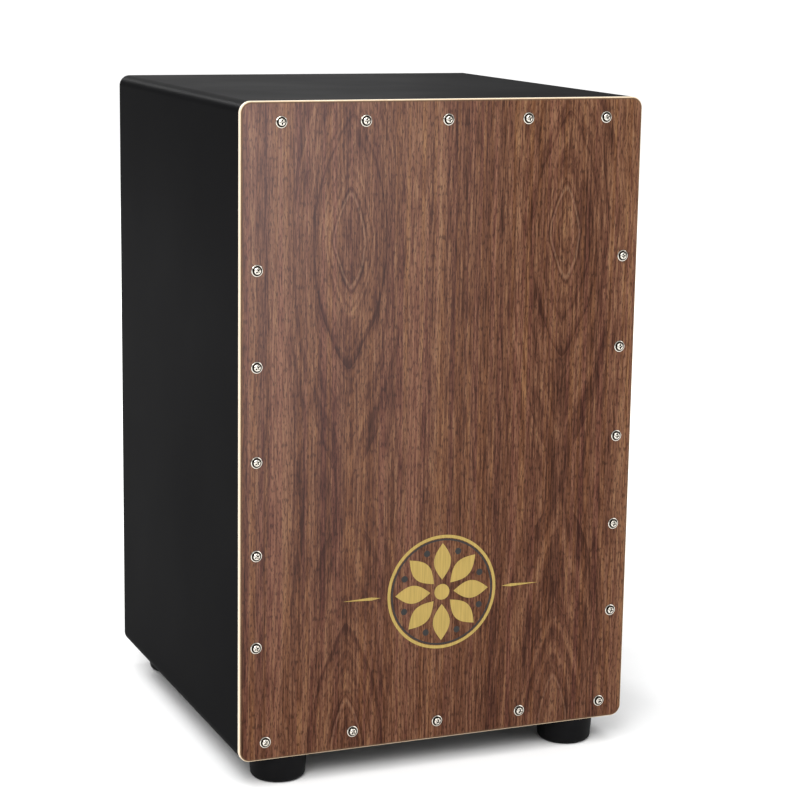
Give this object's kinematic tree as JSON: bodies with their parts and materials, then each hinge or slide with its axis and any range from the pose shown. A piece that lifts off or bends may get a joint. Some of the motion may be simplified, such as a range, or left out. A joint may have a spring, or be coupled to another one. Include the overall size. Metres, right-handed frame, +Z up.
{
  "type": "cajon",
  "caption": "Upright box drum on round rubber feet, with a screwed-on thin playing face, a round rear sound hole and key-adjusted snare strings inside.",
  "frame": {"origin": "on the floor, under the middle of the box", "axes": "+Z up; -Y out of the playing face; +X to the right as seen from in front of the playing face"},
  "size_m": [0.3, 0.3022, 0.48],
  "materials": {
    "black_lacquer": "satin black lacquer on plywood",
    "walnut_veneer": "satin, straight-grained walnut veneer with a figured pair of leaves",
    "birch_core": "satin, light plywood",
    "batten_wood": "raw sawn softwood",
    "block_hardwood": "raw hardwood",
    "foot_rubber": "matte black moulded rubber",
    "screw_nickel": "bright nickel plate",
    "zinc_steel": "bright zinc plate",
    "bolt_steel": "black oxide",
    "string_steel": "wound steel string",
    "ball_brass": "plain turned brass",
    "gold_print": "gold ink printed on the veneer",
    "black_print": "black ink printed on the veneer"
  },
  "bodies": {
    "cabinet": {"seat_panel": "black_lacquer", "bottom_panel": "black_lacquer", "side_panel_left": "black_lacquer", "side_panel_right": "black_lacquer", "back_panel": "black_lacquer", "batten_front_top": "batten_wood", "batten_front_bottom": "batten_wood", "batten_front_left": "batten_wood", "batten_front_right": "batten_wood", "batten_rear_top": "batten_wood", "batten_rear_bottom": "batten_wood", "batten_rear_left": "batten_wood", "batten_rear_right": "batten_wood", "corner_strip_top_left": "batten_wood", "corner_strip_top_right": "batten_wood", "corner_strip_bottom_left": "batten_wood", "corner_strip_bottom_right": "batten_wood", "foot_front_left": "foot_rubber", "foot_front_right": "foot_rubber", "foot_rear_left": "foot_rubber", "foot_rear_right": "foot_rubber", "string_left_outer": "string_steel", "string_left_inner": "string_steel", "string_right_inner": "string_steel", "string_right_outer": "string_steel", "tapa_core": "birch_core", "tapa_veneer": "walnut_veneer", "tapa_screws": "screw_nickel", "foot_washers": "zinc_steel", "foot_screws": "zinc_steel", "string_bracket": "zinc_steel", "bracket_screws": "zinc_steel", "ball_ends_upper": "ball_brass", "tension_washers": "zinc_steel", "tension_block": "block_hardwood", "block_screws": "zinc_steel", "guide_pins": "zinc_steel"},
    "tension_bolt_left": {"tension_bolt_left": "bolt_steel"},
    "tension_bolt_right": {"tension_bolt_right": "bolt_steel"},
    "carriage_left": {"carriage_left": "zinc_steel", "ball_ends_left": "ball_brass"},
    "carriage_right": {"carriage_right": "zinc_steel", "ball_ends_right": "ball_brass"}
  },
  "joints": [
    {"name": "bolt_left_turn", "type": "hinge", "parent": "cabinet", "child": "tension_bolt_left", "pos_m": [-0.04, -0.1215, 0.03535], "axis": [0, 0, 1], "range_deg": [-1441, 361]},
    {"name": "carriage_left_slide", "type": "slide", "parent": "cabinet", "child": "carriage_left", "axis": [0, 0, 1], "range_m": [-0.001, 0.004], "deforming": ["string_left_outer", "string_left_inner"]},
    {"name": "bolt_right_turn", "type": "hinge", "parent": "cabinet", "child": "tension_bolt_right", "pos_m": [0.04, -0.1215, 0.03535], "axis": [0, 0, 1], "range_deg": [-1441, 361]},
    {"name": "carriage_right_slide", "type": "slide", "parent": "cabinet", "child": "carriage_right", "axis": [0, 0, 1], "range_m": [-0.001, 0.004], "deforming": ["string_right_inner", "string_right_outer"]}
  ],
  "couplings": [
    {"joint": "bolt_left_turn", "follows": "carriage_left_slide", "rad_per_m": -6283.2},
    {"joint": "bolt_right_turn", "follows": "carriage_right_slide", "rad_per_m": -6283.2}
  ]
}
